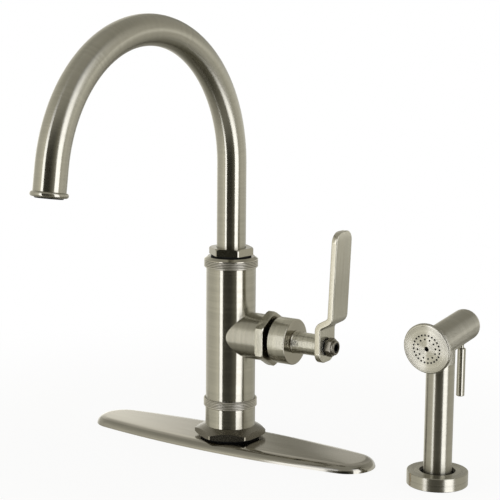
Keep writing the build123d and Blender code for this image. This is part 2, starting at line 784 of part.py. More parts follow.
# ---------------------------------------------------------------- spray wand
wand_side = Vector(1, 0, 0).rotate(Axis.Z, wand_turn)
wand_back = Vector(0, 1, 0).rotate(Axis.Z, wand_turn)
wand_up = Vector(0, 0, 1)
spray_dir = wand_back * -cos(radians(head_tilt)) - wand_up * sin(radians(head_tilt))
head_origin = Vector(wand_x, 0, head_z)
head_plane = Plane(origin=head_origin, x_dir=wand_side, z_dir=spray_dir)
head_side = Plane(origin=head_origin, x_dir=wand_side, z_dir=wand_side.cross(spray_dir))
wand_wall = 1.5
with BuildPart() as wand_handle:
    with BuildSketch(holder_plane.offset(wand_foot_z)):
        Circle(wand_r)
        Circle(wand_r - wand_wall, mode=Mode.SUBTRACT)
    extrude(amount=wand_seam_z - wand_foot_z)
    chamfer(wand_handle.edges().group_by(Axis.Z)[0].sort_by(SortBy.RADIUS)[-1], length=0.6)
wand_handle.part.label = "wand_handle"
export_step(wand_handle.part, "parts/wand_handle.step")

nipple_r = 6.6
nipple_length = 15.0
with BuildPart() as wand_foot:
    with BuildSketch(holder_plane.offset(wand_foot_z)):
        Circle(wand_r - wand_wall - seat_play)
    extrude(amount=10.0)
    with BuildSketch(holder_plane.offset(wand_foot_z)):
        Circle(nipple_r)
    extrude(amount=-nipple_length)
    with BuildSketch(holder_plane.offset(wand_foot_z - nipple_length)):
        Circle(4.0)
    extrude(amount=nipple_length + 10.0, mode=Mode.SUBTRACT)
wand_foot.part.label = "wand_foot"
export_step(wand_foot.part, "parts/wand_foot.step")

head_r = head_dia / 2
rim_r = rim_dia / 2
face_r = face_dia / 2
head_bore_r = 9.6
face_seat = head_face - 3.0
flare_foot = head_face - flare_length
flare_out = rim_r - head_r
flare_rise = flare_length - rim_width
flare_bend = (flare_out**2 + flare_rise**2) / (2 * flare_out)
slot_s = rod_reach / cos(radians(head_tilt))
with BuildPart() as wand_head:
    with BuildSketch(head_side):
        with BuildLine():
            Polyline(
                (rim_r - rim_round, head_face),
                (face_r, head_face),
                (face_r, face_seat),
                (0, face_seat),
                (0, -head_tail),
                (head_r, -head_tail),
                (head_r, flare_foot),
            )
            flare = RadiusArc((head_r, flare_foot), (rim_r, head_face - rim_width), flare_bend)
            Line(flare @ 1, (rim_r, head_face - rim_round))
            RadiusArc((rim_r, head_face - rim_round), (rim_r - rim_round, head_face), -rim_round)
        make_face()
    revolve(axis=Axis(head_origin, spray_dir))
    fillet(wand_head.edges().sort_by(Axis(head_origin, spray_dir))[0], radius=5.5)
    with BuildSketch(holder_plane.offset(wand_seam_z)):
        Circle(wand_r)
    extrude(amount=head_z - wand_seam_z)
    with BuildSketch(head_plane.offset(face_seat)):
        Circle(head_bore_r)
    extrude(amount=-face_seat - head_tail + 2.5, mode=Mode.SUBTRACT)
    with BuildSketch(holder_plane.offset(wand_seam_z)):
        Circle(wand_r - wand_wall)
    extrude(amount=head_z - wand_seam_z, mode=Mode.SUBTRACT)
    with BuildSketch(Plane(origin=head_origin, x_dir=wand_side, z_dir=spray_dir.cross(wand_side))):
        with Locations((0, slot_s - 2.8)):
            SlotOverall(10.0, 4.8, rotation=90)
    extrude(amount=-2 * head_r, mode=Mode.SUBTRACT)
    with BuildSketch(Plane(origin=head_origin - wand_side * (head_r - 1.2), x_dir=spray_dir, z_dir=wand_side)):
        with Locations((-slot_s, 0)):
            Circle(pin_r)
    extrude(amount=2 * head_r - 2.4, mode=Mode.SUBTRACT)
wand_head.part.label = "wand_head"
export_step(wand_head.part, "parts/wand_head.step")

face_thick = 2.8
with BuildPart() as spray_face:
    with BuildSketch(head_plane.offset(face_seat)):
        Circle(face_r - 0.05)
        Circle(1.9, mode=Mode.SUBTRACT)
        with PolarLocations(7.6, 12, start_angle=8):
            Circle(0.6, mode=Mode.SUBTRACT)
        with PolarLocations(10.9, 24, start_angle=4):
            Circle(0.6, mode=Mode.SUBTRACT)
    extrude(amount=face_thick)
spray_face.part.label = "spray_face"
export_step(spray_face.part, "parts/spray_face.step")

# ---------------------------------------------------------------- wand trigger
pivot = head_origin - spray_dir * slot_s
pivot_z = pivot.Z
rod_plane = Plane(origin=(pivot.X, pivot.Y, 0), x_dir=wand_side, z_dir=(0, 0, 1))
hub_half = 2.1
with BuildPart() as trigger:
    with BuildSketch(rod_plane.offset(rod_foot_z)):
        Circle(rod_dia / 2)
    extrude(amount=rod_head_z - rod_foot_z)
    fillet(trigger.edges().group_by(Axis.Z)[-1], radius=1.2)
    chamfer(trigger.edges().group_by(Axis.Z)[0], length=0.5)
    with BuildSketch(rod_plane.offset(rod_head_z - 0.5)):
        Circle(1.7)
    extrude(amount=pivot_z - rod_head_z + 0.5)
    with BuildSketch(Plane(origin=pivot - wand_side * hub_half, x_dir=wand_back, z_dir=wand_side)):
        Circle(3.6)
    extrude(amount=2 * hub_half)
    with BuildSketch(Plane(origin=pivot - wand_side * hub_half, x_dir=wand_back, z_dir=wand_side)):
        Circle(pin_r + running_play)
    extrude(amount=2 * hub_half, mode=Mode.SUBTRACT)
trigger.part.label = "trigger"
export_step(trigger.part, "parts/trigger.step")

with BuildPart() as trigger_pin:
    with BuildSketch(Plane(origin=pivot - wand_side * (head_r - 1.4), x_dir=wand_back, z_dir=wand_side)):
        Circle(pin_r)
    extrude(amount=2 * head_r - 2.8)
trigger_pin.part.label = "trigger_pin"
export_step(trigger_pin.part, "parts/trigger_pin.step")
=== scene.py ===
from math import cos, pi, radians, sin, sqrt

import bpy
from mathutils import Matrix, Vector


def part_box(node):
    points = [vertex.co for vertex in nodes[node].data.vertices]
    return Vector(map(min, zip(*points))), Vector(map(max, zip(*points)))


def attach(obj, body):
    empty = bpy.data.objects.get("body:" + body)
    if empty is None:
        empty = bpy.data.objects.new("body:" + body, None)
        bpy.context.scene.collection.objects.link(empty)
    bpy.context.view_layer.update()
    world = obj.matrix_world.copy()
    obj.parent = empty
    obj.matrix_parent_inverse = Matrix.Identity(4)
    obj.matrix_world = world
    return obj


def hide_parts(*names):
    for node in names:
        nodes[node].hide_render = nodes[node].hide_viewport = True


# Side spray kitchen faucet: finishes and fine detail round the fixed CAD frame. Metres, +Z up,
# origin on the column axis at the deck surface, -Y towards the user, +X towards the lever.

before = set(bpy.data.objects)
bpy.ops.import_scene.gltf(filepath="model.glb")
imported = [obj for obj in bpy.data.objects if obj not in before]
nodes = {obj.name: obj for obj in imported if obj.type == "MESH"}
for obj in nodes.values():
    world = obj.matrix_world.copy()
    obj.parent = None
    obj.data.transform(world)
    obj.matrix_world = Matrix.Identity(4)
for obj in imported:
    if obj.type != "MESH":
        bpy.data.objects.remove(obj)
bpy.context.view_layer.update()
mm = 0.001

# ---------------------------------------------------------------- places that the CAD fixes
up = Vector((0, 0, 1))
column_foot = Vector((0, 0, 0))
plate_run = Vector((1, 0, 0))
valve_centre = Vector((0, 0, 93.7 * mm))
valve_dir = Vector((1, 0, 0))
body_radius = 20.25 * mm

spring_line = 232.8 * mm
spout_radius = 108.3 * mm
spout_turn = radians(-2.0)
spout_dir = Vector((sin(spout_turn), -cos(spout_turn), 0))
spout_side = spout_dir.cross(up)
arch_centre = spout_dir * spout_radius + up * spring_line
arch_bend, tail_length = radians(171.4), 20.7 * mm
tail_dir = spout_dir * sin(arch_bend) + up * cos(arch_bend)
spout_tip = (arch_centre - (spout_dir * cos(arch_bend) - up * sin(arch_bend)) * spout_radius
             + tail_dir * tail_length)

wand_foot = Vector((189.2 * mm, 0, 0))
wand_turn = radians(-2.5)
head_tilt = radians(7.25)
trigger_reach = 34.2 * mm
wand_back = Vector((-sin(wand_turn), cos(wand_turn), 0))
head_centre = wand_foot + up * 112.3 * mm
spray_dir = wand_back * -cos(head_tilt) - up * sin(head_tilt)


# ---------------------------------------------------------------- nodes and colours
def linear(code):
    """Linear RGBA of an sRGB hex colour."""
    parts = [int(code[i:i + 2], 16) / 255 for i in (1, 3, 5)]
    return (*[c / 12.92 if c <= 0.04045 else ((c + 0.055) / 1.055) ** 2.4 for c in parts], 1)


def add(tree, kind, inputs=None, **settings):
    """Adds a node to the tree, with its settings and its input values or links."""
    made = tree.nodes.new(kind)
    for name, value in settings.items():
        setattr(made, name, value)
    for socket, value in (inputs or {}).items():
        if isinstance(value, bpy.types.NodeSocket):
            tree.links.new(value, made.inputs[socket])
        else:
            made.inputs[socket].default_value = value
    return made


def new_material(name):
    """An empty material with its output node; returns the material, its tree and the output."""
    material = bpy.data.materials.new(name)
    material.use_nodes = True
    tree = material.node_tree
    tree.nodes.clear()
    return material, tree, add(tree, "ShaderNodeOutputMaterial")


def wear(material, *names):
    """Gives CAD nodes a finish."""
    for name in names:
        mesh = nodes[name].data
        mesh.materials.clear()
        mesh.materials.append(material)


# ---------------------------------------------------------------- brushed nickel
def turned_lines(tree, place, normal, axis, centre):
    """Coordinates of brush lines that run round an axis, and the direction across them."""
    arm = add(tree, "ShaderNodeVectorMath", {0: place, 1: centre}, operation="SUBTRACT").outputs[0]
    run = add(tree, "ShaderNodeVectorMath", {0: axis, 1: arm}, operation="CROSS_PRODUCT").outputs[0]
    across = add(tree, "ShaderNodeVectorMath", {
        0: normal, 1: run}, operation="CROSS_PRODUCT").outputs[0]
    level = add(tree, "ShaderNodeVectorMath", {
        0: arm, 1: axis}, operation="DOT_PRODUCT").outputs["Value"]
    radius = add(tree, "ShaderNodeVectorMath", {0: run}, operation="LENGTH").outputs["Value"]
    lines = add(tree, "ShaderNodeCombineXYZ", {0: level, 1: radius, 2: 0.0}).outputs[0]
    return lines, across


def straight_lines(tree, place, normal, along):
    """Coordinates of brush lines that run one way, and the direction across them."""
    across = add(tree, "ShaderNodeVectorMath", {
        0: normal, 1: along}, operation="CROSS_PRODUCT").outputs[0]
    # The noise is drawn out 67 times along the lines.
    squeeze = Vector((1, 1, 1)) - Vector([abs(c) for c in along]) * 0.985
    lines = add(tree, "ShaderNodeVectorMath", {
        0: place, 1: squeeze}, operation="MULTIPLY").outputs[0]
    return lines, across


def spout_lines(tree, place, normal):
    """Brush lines that run round the gooseneck's tube, up its riser and over its arch."""
    arm = add(tree, "ShaderNodeVectorMath", {
        0: place, 1: arch_centre}, operation="SUBTRACT").outputs[0]
    bend = add(tree, "ShaderNodeVectorMath", {
        0: spout_side, 1: arm}, operation="CROSS_PRODUCT").outputs[0]
    height = add(tree, "ShaderNodeSeparateXYZ", {0: arm}).outputs[2]
    reach = add(tree, "ShaderNodeVectorMath", {
        0: arm, 1: spout_dir}, operation="DOT_PRODUCT").outputs["Value"]
    below = add(tree, "ShaderNodeMath", {0: height, 1: 0.0}, operation="LESS_THAN").outputs[0]
    behind = add(tree, "ShaderNodeMath", {0: reach, 1: 0.0}, operation="LESS_THAN").outputs[0]
    riser = add(tree, "ShaderNodeMath", {0: below, 1: behind}, operation="MULTIPLY").outputs[0]
    across = add(tree, "ShaderNodeMix", {0: riser, 4: bend, 5: up}, data_type="VECTOR").outputs[1]
    angle = add(tree, "ShaderNodeMath", {0: height, 1: reach}, operation="ARCTAN2").outputs[0]
    swept = add(tree, "ShaderNodeMath", {
        0: angle, 1: spout_radius}, operation="MULTIPLY").outputs[0]
    level = add(tree, "ShaderNodeMix", {
        0: riser, 2: swept, 3: height}, data_type="FLOAT").outputs[0]
    lines = add(tree, "ShaderNodeCombineXYZ", {0: level, 1: 0.0, 2: 0.0}).outputs[0]
    return lines, across


def brushed_nickel(name, pattern, colour="#9F9C8F", roughness=0.2, anisotropy=1.0, grain=0.45,
                   streak=0.06):
    """Electroplated nickel, brushed with a fine abrasive and sealed: a warm grey metal whose
    reflections stay sharp along the brush lines and smear across them. The lines are drawn at
    0.45 mm, coarser than the real 0.05 mm, so that they show."""
    material, tree, output = new_material(name)
    place = add(tree, "ShaderNodeTexCoord").outputs["Object"]
    normal = add(tree, "ShaderNodeNewGeometry").outputs["Normal"]
    lines, across = pattern(tree, place, normal)
    scratches = add(tree, "ShaderNodeTexNoise", {
        "Vector": lines, "Scale": 0.5 / (grain * mm), "Detail": 2.0, "Roughness": 0.6}).outputs[0]
    strokes = add(tree, "ShaderNodeTexNoise", {
        "Vector": lines, "Scale": 0.5 / (4 * grain * mm), "Detail": 2.0,
        "Roughness": 0.7}).outputs[0]
    # Fine scratches and wider strokes together vary the tone by the streak, either way.
    tone = add(tree, "ShaderNodeMath", {
        0: scratches, 1: 0.6, 2: strokes}, operation="MULTIPLY_ADD").outputs[0]
    tint = add(tree, "ShaderNodeMapRange", {
        0: tone, 1: 0.6, 2: 1.0, 3: 1 - streak, 4: 1 + streak}).outputs[0]
    base = add(tree, "ShaderNodeVectorMath", {
        0: linear(colour)[:3], "Scale": tint}, operation="SCALE").outputs[0]
    gloss = add(tree, "ShaderNodeMapRange", {
        0: scratches, 1: 0.3, 2: 0.7, 3: roughness * 0.9, 4: roughness * 1.12}).outputs[0]
    bump = add(tree, "ShaderNodeBump", {
        "Height": scratches, "Strength": 0.25, "Distance": 0.008 * mm})
    shader = add(tree, "ShaderNodeBsdfPrincipled", {
        "Base Color": base, "Metallic": 1.0, "Roughness": gloss, "Anisotropic": anisotropy,
        "Tangent": across, "Normal": bump.outputs[0]})
    tree.links.new(shader.outputs[0], output.inputs[0])
    return material


def round_axis(axis, centre):
    """A pattern of brush lines that run round an axis."""
    return lambda tree, place, normal: turned_lines(tree, place, normal, axis, centre)


def run_along(direction):
    """A pattern of brush lines that run one way."""
    return lambda tree, place, normal: straight_lines(tree, place, normal, direction)


def column_and_branch(tree, place, normal):
    """The column is brushed round its own axis and its valve branch round the valve's."""
    post_lines, post_across = turned_lines(tree, place, normal, up, column_foot)
    branch_lines, branch_across = turned_lines(tree, place, normal, valve_dir, valve_centre)
    flat = add(tree, "ShaderNodeVectorMath", {
        0: place, 1: (1, 1, 0)}, operation="MULTIPLY").outputs[0]
    reach = add(tree, "ShaderNodeVectorMath", {0: flat}, operation="LENGTH").outputs["Value"]
    outside = add(tree, "ShaderNodeMath", {
        0: reach, 1: body_radius + 0.1 * mm}, operation="GREATER_THAN").outputs[0]
    lines = add(tree, "ShaderNodeMix", {
        0: outside, 4: post_lines, 5: branch_lines}, data_type="VECTOR").outputs[1]
    across = add(tree, "ShaderNodeMix", {
        0: outside, 4: post_across, 5: branch_across}, data_type="VECTOR").outputs[1]
    return lines, across


# The foot of the column, brushed round it: crisp upright strips, two white and a dark one between.
column_nickel = brushed_nickel("brushed_nickel_round_column", round_axis(up, column_foot))

# The column with its branch: the same strips, and a soft grey where the branch's lines turn.
body_nickel = brushed_nickel("brushed_nickel_body", column_and_branch)

# The valve's bonnet nut, cap and stem, brushed round its axis: paler than the column's nickel,
# painted light that brightens their highlights, with visible fine rings.
valve_lit_nickel = brushed_nickel(
    "brushed_nickel_round_valve_painted_light", round_axis(valve_dir, valve_centre),
    colour="#B5B2A3", roughness=0.24, streak=0.1)

# The gooseneck, brushed round the tube: its strips run up the riser and over the arch.
spout_nickel = brushed_nickel("brushed_nickel_round_spout", spout_lines)

# The grooved bands, turned and left matt: an even pale grey that hardly mirrors.
ring_nickel = brushed_nickel(
    "turned_nickel_rings", round_axis(up, column_foot),
    colour="#B3AFA2", roughness=0.44, anisotropy=0.5)

# The plate's flat top, brushed lengthwise: a satin grey that still mirrors the base hexagon.
plate_nickel = brushed_nickel(
    "brushed_nickel_plate", run_along(plate_run), colour="#A6A298", roughness=0.11)

# The plate's rounded rim, buffed after brushing: a darker grey, painted shade on its sloping sides,
# with long pale reflections.
rim_shade_nickel = brushed_nickel(
    "brushed_nickel_plate_rim_painted_shade", run_along(plate_run),
    colour="#918E83", roughness=0.13, anisotropy=0.3)

# The lever, brushed up and down its paddle: an even pale grey, paler than the column's nickel as
# painted light.
lever_lit_nickel = brushed_nickel(
    "brushed_nickel_lever_painted_light", run_along(up), colour="#B3B0A2", roughness=0.21)

# The holder ring, brushed round it: wide soft strips with visible streaks.
holder_nickel = brushed_nickel(
    "brushed_nickel_round_holder", round_axis(up, wand_foot),
    roughness=0.29, anisotropy=0.88, streak=0.1)

# The wand's handle, brushed round it: upright strips, softer than the column's.
wand_nickel = brushed_nickel(
    "brushed_nickel_round_wand", round_axis(up, wand_foot), roughness=0.3, anisotropy=0.94)

# The spray head, brushed round its barrel: a soft grey with a pale ridge along the top.
head_nickel = brushed_nickel(
    "brushed_nickel_round_head", round_axis(spray_dir, head_centre), roughness=0.32)

# The spray face, turned on a lathe: the palest of the nickel, in fine rings round the centre.
spray_nickel = brushed_nickel(
    "brushed_nickel_spray_face", round_axis(spray_dir, head_centre),
    colour="#C0BDB0", roughness=0.27, grain=0.4, streak=0.12)

# The trigger rod, brushed round it: narrow strips, dark between two pale edges.
rod_nickel = brushed_nickel(
    "brushed_nickel_trigger_rod", round_axis(up, wand_foot + wand_back * trigger_reach))

wear(column_nickel, "lower_body")
wear(body_nickel, "body_column")
wear(valve_lit_nickel, "lever_stem")
wear(spout_nickel, "spout_tube", "spout_bead")
wear(holder_nickel, "holder_ring")
wear(wand_nickel, "wand_handle")
wear(rod_nickel, "trigger")
wear(spray_nickel, "spray_face")


# ---------------------------------------------------------------- other finishes
def plain_finish(name, colour, roughness, metallic=0.0, grit=0.6, relief=0.01, mottle=0.06,
                 specular=0.5):
    """A moulded, cast, machined or polished surface with a faint grit in its tone, gloss and
    relief. Grit and relief are in mm; the grit is drawn coarser than the real one."""
    material, tree, output = new_material(name)
    place = add(tree, "ShaderNodeTexCoord").outputs["Object"]
    grain = add(tree, "ShaderNodeTexNoise", {
        "Vector": place, "Scale": 0.5 / (grit * mm), "Detail": 3.0}).outputs[0]
    tint = add(tree, "ShaderNodeMapRange", {
        0: grain, 1: 0.3, 2: 0.7, 3: 1 - mottle, 4: 1 + mottle}).outputs[0]
    base = add(tree, "ShaderNodeVectorMath", {
        0: linear(colour)[:3], "Scale": tint}, operation="SCALE").outputs[0]
    gloss = add(tree, "ShaderNodeMapRange", {
        0: grain, 1: 0.3, 2: 0.7, 3: roughness * 0.88, 4: min(1.0, roughness * 1.12)}).outputs[0]
    bump = add(tree, "ShaderNodeBump", {"Height": grain, "Strength": 0.3, "Distance": relief * mm})
    shader = add(tree, "ShaderNodeBsdfPrincipled", {
        "Base Color": base, "Metallic": metallic, "Roughness": gloss, "Normal": bump.outputs[0],
        "Specular IOR Level": specular})
    tree.links.new(shader.outputs[0], output.inputs[0])
    return material


# Seals and washers, moulded nitrile rubber: a dull black line between two bright metals.
black_rubber = plain_finish("moulded_rubber_black", "#0E0E0D", 0.8, relief=0.02, specular=0.25)

# Polished nickel on the spout nut, the collar's bevel, the cap's face and the corners of the base
# hexagon: it mirrors clearly and glints at its edges.
polished_nickel = plain_finish(
    "polished_nickel", "#9C988A", 0.13, metallic=1.0, grit=0.5, relief=0.004, mottle=0.04)

# The bonnet nut's end face, which stands in shade: the same polish, seen as a darker grey.
deep_nickel = plain_finish(
    "polished_nickel_deep", "#858173", 0.2, metallic=1.0, grit=0.5, relief=0.004, mottle=0.05)

# The lever's narrow edges and the stem collar's bead, buffed last: the pale valve colour as a
# painted highlight, with an even gloss, so they are the brightest lines.
highlight_nickel = plain_finish(
    "polished_nickel_painted_highlight", "#B2AE9E", 0.24, metallic=1.0, grit=0.4, relief=0.004)

# The base hexagon and the lever's nut, less buffed: the nickel in a darker colour, painted shade
# that makes their faces dark, with soft reflections.
base_shade_nickel = plain_finish(
    "polished_nickel_base_painted_shade", "#79756A", 0.27, metallic=1.0, grit=0.5, relief=0.004)

# The walls of the ring grooves: a dark grey nickel, painted shade in the recesses, that draws thin
# dark lines round the bands.
groove_shade_nickel = plain_finish("turned_nickel_groove_painted_shade", "#3A3831", 0.5, metallic=1.0, grit=0.4)

# The pad below the plate, closed cell foam: soft charcoal with a visible cell.
foam = plain_finish("closed_cell_foam_gasket", "#2C2C2B", 0.9, grit=0.9, relief=0.08)

# The wand's socket, its nut and the hose end, moulded nylon: a satin black.
nylon = plain_finish("moulded_nylon_black", "#161615", 0.5, relief=0.01)

# Bearings, the cartridge and the aerator's screen, moulded acetal: a plain off-white.
acetal = plain_finish("moulded_acetal_white", "#DAD9D3", 0.42)

# The shank, its nut, the inlet block and the spout's foot, machined brass: a warm yellow metal.
brass = plain_finish("machined_brass", "#B8934C", 0.3, metallic=1.0, grit=0.4)

# The clamp washer and the pins, plain steel: a neutral grey, duller than the nickel.
steel = plain_finish("plain_steel", "#8F8F8C", 0.34, metallic=1.0, grit=0.4)

# The socket screw and the aerator's lip, blackened steel: near black with a faint shine.
blackened_steel = plain_finish("blackened_socket_screw", "#1A1A19", 0.45, metallic=1.0, grit=0.3)

# The neck behind the cap, the spray nozzles and their seat, moulded silicone: a soft deep black,
# which on the neck also stands in for the shade in the gap between the bonnet nut and the cap.
silicone_and_gap_shade = plain_finish("moulded_silicone_black_and_gap_shade", "#0B0B0B", 0.6, grit=0.3, specular=0.2)

wear(black_rubber, "nut_seal", "spout_orings", "deck_washer", "holder_washer", "lever_washer")
wear(foam, "deck_gasket")
wear(nylon, "holder_body", "holder_nut", "wand_foot")
wear(acetal, "spout_bearing", "cartridge_housing", "cartridge_disc", "valve_carrier",
     "aerator_screen")
wear(brass, "shank", "inlet_block", "mounting_nut", "spout_foot")
wear(steel, "clamp_washer", "pivot_pin", "trigger_pin")
wear(blackened_steel, "lever_screw")
# The neck's black is partly painted shade in the gap behind the cap.
wear(silicone_and_gap_shade, "handle_neck")


# ---------------------------------------------------------------- ways of making
def lathe(profile, centre=column_foot, axis=up, sides=160):
    """A turned piece with a bore: a circle drawn out through (radius, height) points in mm,
    back to its start."""
    bpy.ops.object.select_all(action="DESELECT")
    radius, height = profile[0]
    bpy.ops.mesh.primitive_circle_add(
        vertices=sides, radius=radius * mm, location=(0, 0, height * mm))
    piece = bpy.context.object
    bpy.ops.object.mode_set(mode="EDIT")
    bpy.ops.mesh.select_all(action="SELECT")
    for next_radius, next_height in (*profile[1:], profile[0]):
        bpy.ops.mesh.extrude_edges_move(
            TRANSFORM_OT_translate={"value": (0, 0, (next_height - height) * mm)})
        bpy.ops.transform.resize(value=(next_radius / radius, next_radius / radius, 1))
        radius, height = next_radius, next_height
    bpy.ops.mesh.select_all(action="SELECT")
    bpy.ops.mesh.remove_doubles(threshold=0.001 * mm)
    bpy.ops.mesh.normals_make_consistent(inside=False)
    bpy.ops.object.mode_set(mode="OBJECT")
    turn = axis.to_track_quat("Z", "Y").to_matrix().to_4x4()
    piece.matrix_world = Matrix.Translation(centre) @ turn @ piece.matrix_world
    bpy.ops.object.transform_apply()
    return piece


def break_edges(piece, width, angle=30.0, segments=3):
    """Rounds the sharp edges by a width in mm, or flattens them in 1 segment, and shades the
    rest smooth."""
    bpy.ops.object.select_all(action="DESELECT")
    piece.select_set(True)
    bpy.context.view_layer.objects.active = piece
    if width:
        bevel = piece.modifiers.new("broken_edges", "BEVEL")
        bevel.width = width * mm
        bevel.segments = segments
        bevel.limit_method = "ANGLE"
        bevel.angle_limit = radians(angle)
        bpy.ops.object.modifier_apply(modifier=bevel.name)
    bpy.ops.object.shade_smooth_by_angle(angle=radians(angle))
    return piece


def copy_of(node):
    """A CAD node's shape as a piece of its own, merged, with its flats made whole."""
    bpy.ops.object.select_all(action="DESELECT")
    piece = bpy.data.objects.new(node + "_copy", nodes[node].data.copy())
    bpy.context.scene.collection.objects.link(piece)
    piece.select_set(True)
    bpy.context.view_layer.objects.active = piece
    bpy.ops.object.mode_set(mode="EDIT")
    bpy.ops.mesh.select_all(action="SELECT")
    bpy.ops.mesh.remove_doubles(threshold=0.001 * mm)
    bpy.ops.mesh.dissolve_limited(angle_limit=radians(0.5))
    bpy.ops.object.mode_set(mode="OBJECT")
    return piece


def keep_common(piece, tool):
    """Keeps only what a piece shares with a tool, which it uses up."""
    bpy.ops.object.select_all(action="DESELECT")
    piece.select_set(True)
    bpy.context.view_layer.objects.active = piece
    cut = piece.modifiers.new("cut", "BOOLEAN")
    cut.operation = "INTERSECT"
    cut.object = tool
    bpy.ops.object.modifier_apply(modifier=cut.name)
    bpy.data.objects.remove(tool)
    return piece


def hexagon(blank, corner, middle, depth, turn, flattened=0.6, crease=25):
    """A turned blank cut to a hexagon by a bar whose upright corners are flattened: corner
    radius, middle height, depth and flattening in mm, turn and crease in degrees."""
    bpy.ops.mesh.primitive_cylinder_add(
        vertices=6, radius=corner * mm, depth=depth * mm,
        location=(0, 0, middle * mm), rotation=(0, 0, radians(turn - 90)))
    bar = break_edges(bpy.context.object, flattened, segments=1)
    return break_edges(keep_common(blank, bar), 0, crease)


def seal_ring(bore, radius, foot, top, bevel):
    """A flat rubber ring with bevelled outer edges, in mm."""
    return break_edges(lathe([
        (bore, foot), (radius - bevel, foot), (radius, foot + bevel),
        (radius, top - bevel), (radius - bevel, top), (bore, top)]), 0)


def grooves(radius, start, count=4, pitch=1.3, width=1.0, depth=0.32):
    """Profile points of fine V grooves turned into a band, in mm. The real ones are finer, at
    about 1 mm: a wider pitch lets them show."""
    points = []
    for index in range(count):
        middle = start + index * pitch
        points += [
            (radius, middle - width / 2), (radius - depth, middle), (radius, middle + width / 2)]
    return points


def fit(piece, name, body, slot, finish, *stands_for):
    """Names a piece, finishes it and puts it on its body, in place of CAD nodes."""
    piece.name = name
    piece.data.materials.clear()
    piece.data.materials.append(finish)
    for face in piece.data.polygons:
        face.material_index = 0
    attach(piece, body)
    if stands_for:
        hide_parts(*stands_for)
    return piece


def second_finish(piece, finish, chosen):
    """Gives the chosen faces of a piece another finish."""
    piece.data.materials.append(finish)
    for face in piece.data.polygons:
        if chosen(face):
            face.material_index = len(piece.data.materials) - 1


def groove_walls(low, high):
    """Chooses the faces that look down between two heights in mm."""
    return lambda face: face.normal.z < -0.3 and low * mm < face.center.z < high * mm


# ---------------------------------------------------------------- column base
# Heights above the deck, radii and the hexagon's width are the CAD's, in mm. Only the black seal
# is thinner, as it shows less in the photograph, and the hexagon reaches down to it.
plate_top, seal_top, hexagon_top = 6.4, 8.1, 16.6
ring_foot, ring_top, ring_radius = 32.6, 39.9, 21.95
base_flats, base_turn, base_bore = 51.3, 27.4, 16.1
lower_body_radius = 20.55

# The rim stands steeper at its foot than the plain round of the CAD, and reaches the same top
# and outline.
plate = copy_of("deck_plate")
plate_rise, rim_steepness = plate_top * mm, 0.75
for point in plate.data.vertices:
    if 0 < point.co.z < plate_rise and point.normal.z > 0.05:
        point.co.z = plate_rise * (point.co.z / plate_rise) ** rim_steepness
break_edges(plate, 0)
fit(plate, "deck_plate_finished", "faucet", "plate_nickel", plate_nickel, "deck_plate")
# All that leans more than 26 degrees from level is rim, and takes its darker grey of painted shade.
second_finish(plate, rim_shade_nickel, lambda face: face.normal.z < 0.9)

# A black rubber seal under the hexagon, whose black also stands in for the shade in the gap there.
base_seal = seal_ring(bore=16.5, radius=24.0, foot=plate_top, top=seal_top, bevel=0.4)
fit(base_seal, "base_seal_ring_and_shade", "faucet", "black_rubber", black_rubber, "base_seal")

base_corner = base_flats / sqrt(3)
base_blank = lathe([
    (base_bore, seal_top), (26.2, seal_top), (base_corner, 9.4), (base_corner, 12.0),
    (lower_body_radius, hexagon_top), (base_bore, hexagon_top)])
base_piece = hexagon(base_blank, base_corner, middle=12.7, depth=10, turn=base_turn)
# Its darker colour is painted shade.
fit(base_piece, "base_hexagon", "faucet", "nickel", base_shade_nickel, "base_hex")
# The flattened corners are polished: each catches one small white glint.
second_finish(base_piece, polished_nickel,
              lambda face: face.area < 4 * mm ** 2 and abs(face.normal.z) < 0.2)

lower_band = lathe([
    (18.0, ring_foot), (21.25, ring_foot), (ring_radius, 33.3), *grooves(ring_radius, 34.2),
    (ring_radius, 38.7), (21.5, 39.2), (20.6, 39.2), (20.0, 38.6), (19.4, 39.2),
    (19.2, ring_top), (18.0, ring_top)])
fit(break_edges(lower_band, 0), "lower_ring_turned", "faucet", "turned_nickel", ring_nickel,
    "lower_ring")
# Painted shade on the walls of its grooves.
second_finish(lower_band, groove_shade_nickel, groove_walls(33.4, 38.7))

# ---------------------------------------------------------------- collar and nut below the spout
collar_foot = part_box("upper_collar")[0].z / mm
collar_top, collar_rim, collar_seat = 157.4, 148.8, 154.1
chamber_radius, spout_bore, collar_bore = 17.9, 12.2, 15.1
collar = lathe([
    (spout_bore, collar_foot), (chamber_radius, collar_foot), (chamber_radius, collar_rim),
    (21.45, collar_rim), (ring_radius, 149.3), *grooves(ring_radius, 150.3), (ring_radius, 155.0),
    (21.7, 155.6), (19.15, collar_top), (collar_bore, collar_top), (collar_bore, collar_seat),
    (spout_bore, collar_seat)])
fit(break_edges(collar, 0), "upper_collar_turned", "faucet", "turned_nickel", ring_nickel,
    "upper_collar")
second_finish(collar, polished_nickel, lambda face: face.center.z > 155.1 * mm)
# Painted shade on the walls of its grooves.
second_finish(collar, groove_shade_nickel, groove_walls(149.5, 155.0))

nut_foot = 158.8
# A black rubber seal under the spout nut, whose black also stands in for the shade in the gap
# there.
nut_seal = seal_ring(bore=15.15, radius=16.5, foot=collar_top, top=nut_foot, bevel=0.3)
fit(nut_seal, "nut_seal_ring_and_shade", "faucet", "black_rubber", black_rubber, "nut_seal")

